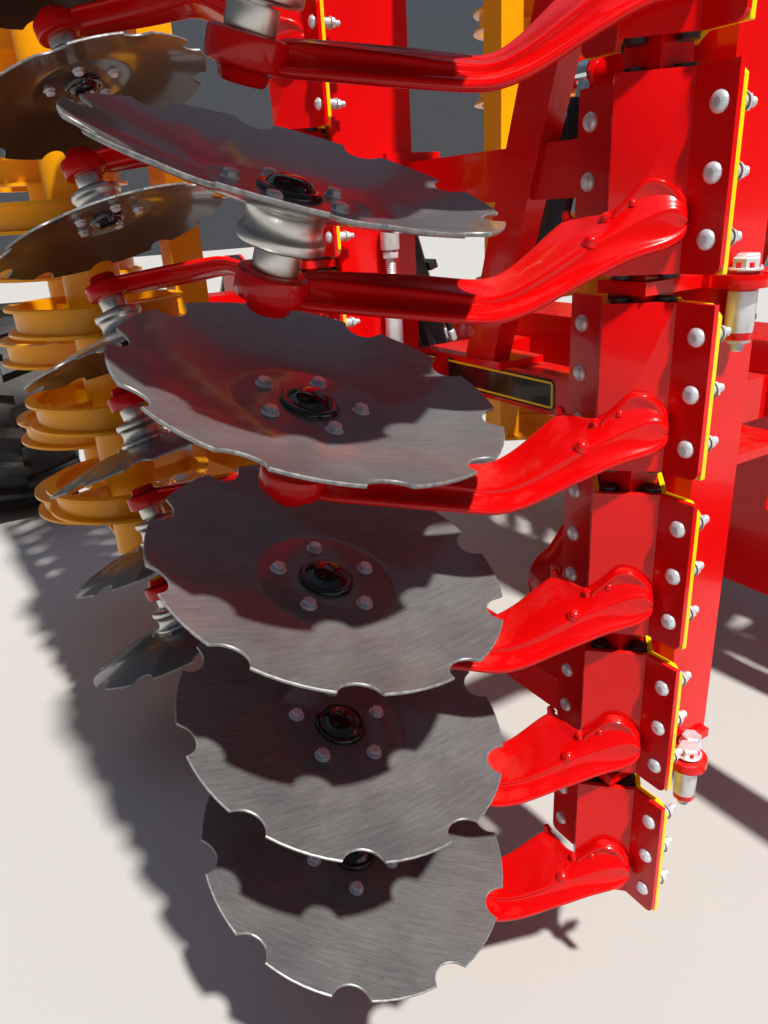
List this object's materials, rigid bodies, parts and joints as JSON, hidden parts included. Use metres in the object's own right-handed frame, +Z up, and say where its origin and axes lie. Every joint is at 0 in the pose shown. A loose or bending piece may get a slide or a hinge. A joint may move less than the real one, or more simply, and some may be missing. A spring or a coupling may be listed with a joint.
{
  "type": "disc harrow",
  "caption": "Trailed compact disc harrow with notched discs on rubber-sprung arms, ring rollers, two wings folded upright for the road, drawbar with jack and a rear transport axle",
  "frame": {"origin": "on the ground under the middle of the whole machine's length and width", "axes": "+Z up, travel towards -Y, +X towards the machine's left side"},
  "size_m": [2.7, 6.3727, 2.084],
  "materials": {
    "red_paint": "gloss",
    "yellow_paint": "gloss",
    "roller_paint": "gloss",
    "black_paint": "gloss",
    "rim_paint": "gloss",
    "disc_steel": "gloss",
    "chromed_rod": "polished",
    "cast_steel": "satin",
    "hose_rubber": "matte",
    "rod_rubber": "matte",
    "tyre_rubber": "matte"
  },
  "bodies": {
    "base": {"main_frame": "red_paint", "drawbar": "red_paint", "hitch_eye": "cast_steel", "hydraulic_hoses": "hose_rubber"},
    "jack": {"jack_leg": "black_paint"},
    "axle": {"axle_frame": "red_paint"},
    "wheel_right": {"wheel_rim_right": "rim_paint", "tyre_right": "tyre_rubber"},
    "wheel_left": {"wheel_rim_left": "rim_paint", "tyre_left": "tyre_rubber"},
    "lift_barrel_body": {"lift_barrel": "black_paint"},
    "lift_rod_body": {"lift_rod": "chromed_rod"},
    "wing_right": {"wing_frame_right": "red_paint", "clamp_outers_right": "red_paint", "clamp_inners_right": "yellow_paint", "rubber_rods_right": "rod_rubber", "disc_arms_right": "red_paint", "roller_frame_right": "roller_paint"},
    "roller_front_body_right": {"roller_front_right": "roller_paint"},
    "roller_rear_body_right": {"roller_rear_right": "roller_paint"},
    "fold_barrel_body_right": {"fold_barrel_right": "black_paint"},
    "fold_rod_body_right": {"fold_rod_right": "chromed_rod"},
    "wing_left": {"wing_frame_left": "red_paint", "clamp_outers_left": "red_paint", "clamp_inners_left": "yellow_paint", "rubber_rods_left": "rod_rubber", "disc_arms_left": "red_paint", "roller_frame_left": "roller_paint"},
    "roller_front_body_left": {"roller_front_left": "roller_paint"},
    "roller_rear_body_left": {"roller_rear_left": "roller_paint"},
    "fold_barrel_body_left": {"fold_barrel_left": "black_paint"},
    "fold_rod_body_left": {"fold_rod_left": "chromed_rod"},
    "disc_right_front_1_body": {"disc_right_front_1": "disc_steel"},
    "disc_right_front_2_body": {"disc_right_front_2": "disc_steel"},
    "disc_right_front_3_body": {"disc_right_front_3": "disc_steel"},
    "disc_right_front_4_body": {"disc_right_front_4": "disc_steel"},
    "disc_right_front_5_body": {"disc_right_front_5": "disc_steel"},
    "disc_right_front_6_body": {"disc_right_front_6": "disc_steel"},
    "disc_right_front_7_body": {"disc_right_front_7": "disc_steel"},
    "disc_right_rear_1_body": {"disc_right_rear_1": "disc_steel"},
    "disc_right_rear_2_body": {"disc_right_rear_2": "disc_steel"},
    "disc_right_rear_3_body": {"disc_right_rear_3": "disc_steel"},
    "disc_right_rear_4_body": {"disc_right_rear_4": "disc_steel"},
    "disc_right_rear_5_body": {"disc_right_rear_5": "disc_steel"},
    "disc_right_rear_6_body": {"disc_right_rear_6": "disc_steel"},
    "disc_right_rear_7_body": {"disc_right_rear_7": "disc_steel"},
    "disc_left_front_1_body": {"disc_left_front_1": "disc_steel"},
    "disc_left_front_2_body": {"disc_left_front_2": "disc_steel"},
    "disc_left_front_3_body": {"disc_left_front_3": "disc_steel"},
    "disc_left_front_4_body": {"disc_left_front_4": "disc_steel"},
    "disc_left_front_5_body": {"disc_left_front_5": "disc_steel"},
    "disc_left_front_6_body": {"disc_left_front_6": "disc_steel"},
    "disc_left_front_7_body": {"disc_left_front_7": "disc_steel"},
    "disc_left_rear_1_body": {"disc_left_rear_1": "disc_steel"},
    "disc_left_rear_2_body": {"disc_left_rear_2": "disc_steel"},
    "disc_left_rear_3_body": {"disc_left_rear_3": "disc_steel"},
    "disc_left_rear_4_body": {"disc_left_rear_4": "disc_steel"},
    "disc_left_rear_5_body": {"disc_left_rear_5": "disc_steel"},
    "disc_left_rear_6_body": {"disc_left_rear_6": "disc_steel"},
    "disc_left_rear_7_body": {"disc_left_rear_7": "disc_steel"}
  },
  "joints": [
    {"name": "fold_right", "type": "hinge", "parent": "base", "child": "wing_right", "pos_m": [-0.55, -0.6485, 0.72], "axis": [0, -1, 0], "range_deg": [0, 90]},
    {"name": "fold_left", "type": "hinge", "parent": "base", "child": "wing_left", "pos_m": [0.55, -0.6485, 0.72], "axis": [0, 1, 0], "range_deg": [0, 90]},
    {"name": "axle_lift", "type": "hinge", "parent": "base", "child": "axle", "pos_m": [0, 1.8795, 0.8], "axis": [1, 0, 0], "range_deg": [0, 22]},
    {"name": "jack_slide", "type": "slide", "parent": "base", "child": "jack", "axis": [0, 0, 1], "range_m": [0, 0.2]},
    {"name": "fold_barrel_turn_right", "type": "hinge", "parent": "base", "child": "fold_barrel_body_right", "pos_m": [-0.15, 0.2595, 0.88], "axis": [0, -1, 0], "range_deg": [0, 72.8]},
    {"name": "fold_rod_slide_right", "type": "slide", "parent": "fold_barrel_body_right", "child": "fold_rod_body_right", "axis": [-0.2976, 0, 0.9547], "range_m": [0, 0.524]},
    {"name": "fold_barrel_turn_left", "type": "hinge", "parent": "base", "child": "fold_barrel_body_left", "pos_m": [0.15, 0.2595, 0.88], "axis": [0, 1, 0], "range_deg": [0, 72.8]},
    {"name": "fold_rod_slide_left", "type": "slide", "parent": "fold_barrel_body_left", "child": "fold_rod_body_left", "axis": [0.2976, 0, 0.9547], "range_m": [0, 0.524]},
    {"name": "lift_barrel_turn", "type": "hinge", "parent": "base", "child": "lift_barrel_body", "pos_m": [0, 2.1795, 1.11], "axis": [1, 0, 0], "range_deg": [0, 23.8]},
    {"name": "lift_rod_slide", "type": "slide", "parent": "lift_barrel_body", "child": "lift_rod_body", "axis": [0, 0.6446, -0.7645], "range_m": [-0.164, 0]},
    {"name": "wheel_turn_right", "type": "hinge", "parent": "axle", "child": "wheel_right", "pos_m": [-1.104, 2.6865, 0.5], "axis": [1, 0, 0], "continuous": true},
    {"name": "wheel_turn_left", "type": "hinge", "parent": "axle", "child": "wheel_left", "pos_m": [1.104, 2.6865, 0.5], "axis": [1, 0, 0], "continuous": true},
    {"name": "roller_front_turn_right", "type": "hinge", "parent": "wing_right", "child": "roller_front_body_right", "pos_m": [-0.958, 0.7345, 1.2], "axis": [0, 0, 1], "continuous": true},
    {"name": "roller_rear_turn_right", "type": "hinge", "parent": "wing_right", "child": "roller_rear_body_right", "pos_m": [-0.958, 1.1285, 1.2], "axis": [0, 0, 1], "continuous": true},
    {"name": "roller_front_turn_left", "type": "hinge", "parent": "wing_left", "child": "roller_front_body_left", "pos_m": [0.958, 0.7345, 1.2], "axis": [0, 0, 1], "continuous": true},
    {"name": "roller_rear_turn_left", "type": "hinge", "parent": "wing_left", "child": "roller_rear_body_left", "pos_m": [0.958, 1.1285, 1.2], "axis": [0, 0, 1], "continuous": true},
    {"name": "disc_right_front_1_turn", "type": "hinge", "parent": "wing_right", "child": "disc_right_front_1_body", "pos_m": [-0.9933, -0.6387, 0.3572], "axis": [0.177, -0.301, 0.937], "continuous": true},
    {"name": "disc_right_front_2_turn", "type": "hinge", "parent": "wing_right", "child": "disc_right_front_2_body", "pos_m": [-0.9933, -0.6387, 0.6072], "axis": [0.177, -0.301, 0.937], "continuous": true},
    {"name": "disc_right_front_3_turn", "type": "hinge", "parent": "wing_right", "child": "disc_right_front_3_body", "pos_m": [-0.9933, -0.6387, 0.8572], "axis": [0.177, -0.301, 0.937], "continuous": true},
    {"name": "disc_right_front_4_turn", "type": "hinge", "parent": "wing_right", "child": "disc_right_front_4_body", "pos_m": [-0.9933, -0.6387, 1.1072], "axis": [0.177, -0.301, 0.937], "continuous": true},
    {"name": "disc_right_front_5_turn", "type": "hinge", "parent": "wing_right", "child": "disc_right_front_5_body", "pos_m": [-0.9933, -0.6387, 1.3572], "axis": [0.177, -0.301, 0.937], "continuous": true},
    {"name": "disc_right_front_6_turn", "type": "hinge", "parent": "wing_right", "child": "disc_right_front_6_body", "pos_m": [-0.9933, -0.6387, 1.6072], "axis": [0.177, -0.301, 0.937], "continuous": true},
    {"name": "disc_right_front_7_turn", "type": "hinge", "parent": "wing_right", "child": "disc_right_front_7_body", "pos_m": [-0.9933, -0.6387, 1.8572], "axis": [0.177, -0.301, 0.937], "continuous": true},
    {"name": "disc_right_rear_1_turn", "type": "hinge", "parent": "wing_right", "child": "disc_right_rear_1_body", "pos_m": [-0.9933, 0.2813, 0.3428], "axis": [0.177, -0.301, -0.937], "continuous": true},
    {"name": "disc_right_rear_2_turn", "type": "hinge", "parent": "wing_right", "child": "disc_right_rear_2_body", "pos_m": [-0.9933, 0.2813, 0.5928], "axis": [0.177, -0.301, -0.937], "continuous": true},
    {"name": "disc_right_rear_3_turn", "type": "hinge", "parent": "wing_right", "child": "disc_right_rear_3_body", "pos_m": [-0.9933, 0.2813, 0.8428], "axis": [0.177, -0.301, -0.937], "continuous": true},
    {"name": "disc_right_rear_4_turn", "type": "hinge", "parent": "wing_right", "child": "disc_right_rear_4_body", "pos_m": [-0.9933, 0.2813, 1.0928], "axis": [0.177, -0.301, -0.937], "continuous": true},
    {"name": "disc_right_rear_5_turn", "type": "hinge", "parent": "wing_right", "child": "disc_right_rear_5_body", "pos_m": [-0.9933, 0.2813, 1.3428], "axis": [0.177, -0.301, -0.937], "continuous": true},
    {"name": "disc_right_rear_6_turn", "type": "hinge", "parent": "wing_right", "child": "disc_right_rear_6_body", "pos_m": [-0.9933, 0.2813, 1.5928], "axis": [0.177, -0.301, -0.937], "continuous": true},
    {"name": "disc_right_rear_7_turn", "type": "hinge", "parent": "wing_right", "child": "disc_right_rear_7_body", "pos_m": [-0.9933, 0.2813, 1.8428], "axis": [0.177, -0.301, -0.937], "continuous": true},
    {"name": "disc_left_front_1_turn", "type": "hinge", "parent": "wing_left", "child": "disc_left_front_1_body", "pos_m": [0.9933, -0.6387, 0.3572], "axis": [-0.177, -0.301, 0.937], "continuous": true},
    {"name": "disc_left_front_2_turn", "type": "hinge", "parent": "wing_left", "child": "disc_left_front_2_body", "pos_m": [0.9933, -0.6387, 0.6072], "axis": [-0.177, -0.301, 0.937], "continuous": true},
    {"name": "disc_left_front_3_turn", "type": "hinge", "parent": "wing_left", "child": "disc_left_front_3_body", "pos_m": [0.9933, -0.6387, 0.8572], "axis": [-0.177, -0.301, 0.937], "continuous": true},
    {"name": "disc_left_front_4_turn", "type": "hinge", "parent": "wing_left", "child": "disc_left_front_4_body", "pos_m": [0.9933, -0.6387, 1.1072], "axis": [-0.177, -0.301, 0.937], "continuous": true},
    {"name": "disc_left_front_5_turn", "type": "hinge", "parent": "wing_left", "child": "disc_left_front_5_body", "pos_m": [0.9933, -0.6387, 1.3572], "axis": [-0.177, -0.301, 0.937], "continuous": true},
    {"name": "disc_left_front_6_turn", "type": "hinge", "parent": "wing_left", "child": "disc_left_front_6_body", "pos_m": [0.9933, -0.6387, 1.6072], "axis": [-0.177, -0.301, 0.937], "continuous": true},
    {"name": "disc_left_front_7_turn", "type": "hinge", "parent": "wing_left", "child": "disc_left_front_7_body", "pos_m": [0.9933, -0.6387, 1.8572], "axis": [-0.177, -0.301, 0.937], "continuous": true},
    {"name": "disc_left_rear_1_turn", "type": "hinge", "parent": "wing_left", "child": "disc_left_rear_1_body", "pos_m": [0.9933, 0.2813, 0.3428], "axis": [-0.177, -0.301, -0.937], "continuous": true},
    {"name": "disc_left_rear_2_turn", "type": "hinge", "parent": "wing_left", "child": "disc_left_rear_2_body", "pos_m": [0.9933, 0.2813, 0.5928], "axis": [-0.177, -0.301, -0.937], "continuous": true},
    {"name": "disc_left_rear_3_turn", "type": "hinge", "parent": "wing_left", "child": "disc_left_rear_3_body", "pos_m": [0.9933, 0.2813, 0.8428], "axis": [-0.177, -0.301, -0.937], "continuous": true},
    {"name": "disc_left_rear_4_turn", "type": "hinge", "parent": "wing_left", "child": "disc_left_rear_4_body", "pos_m": [0.9933, 0.2813, 1.0928], "axis": [-0.177, -0.301, -0.937], "continuous": true},
    {"name": "disc_left_rear_5_turn", "type": "hinge", "parent": "wing_left", "child": "disc_left_rear_5_body", "pos_m": [0.9933, 0.2813, 1.3428], "axis": [-0.177, -0.301, -0.937], "continuous": true},
    {"name": "disc_left_rear_6_turn", "type": "hinge", "parent": "wing_left", "child": "disc_left_rear_6_body", "pos_m": [0.9933, 0.2813, 1.5928], "axis": [-0.177, -0.301, -0.937], "continuous": true},
    {"name": "disc_left_rear_7_turn", "type": "hinge", "parent": "wing_left", "child": "disc_left_rear_7_body", "pos_m": [0.9933, 0.2813, 1.8428], "axis": [-0.177, -0.301, -0.937], "continuous": true}
  ],
  "couplings": [
    {"joint": "fold_barrel_turn_right", "follows": "fold_right", "ratio": 0.8076},
    {"joint": "fold_rod_slide_right", "follows": "fold_right", "m_per_rad": 0.33325},
    {"joint": "fold_barrel_turn_left", "follows": "fold_left", "ratio": 0.8076},
    {"joint": "fold_rod_slide_left", "follows": "fold_left", "m_per_rad": 0.33325},
    {"joint": "lift_barrel_turn", "follows": "axle_lift", "ratio": 1.0772},
    {"joint": "lift_rod_slide", "follows": "axle_lift", "m_per_rad": -0.42641}
  ]
}
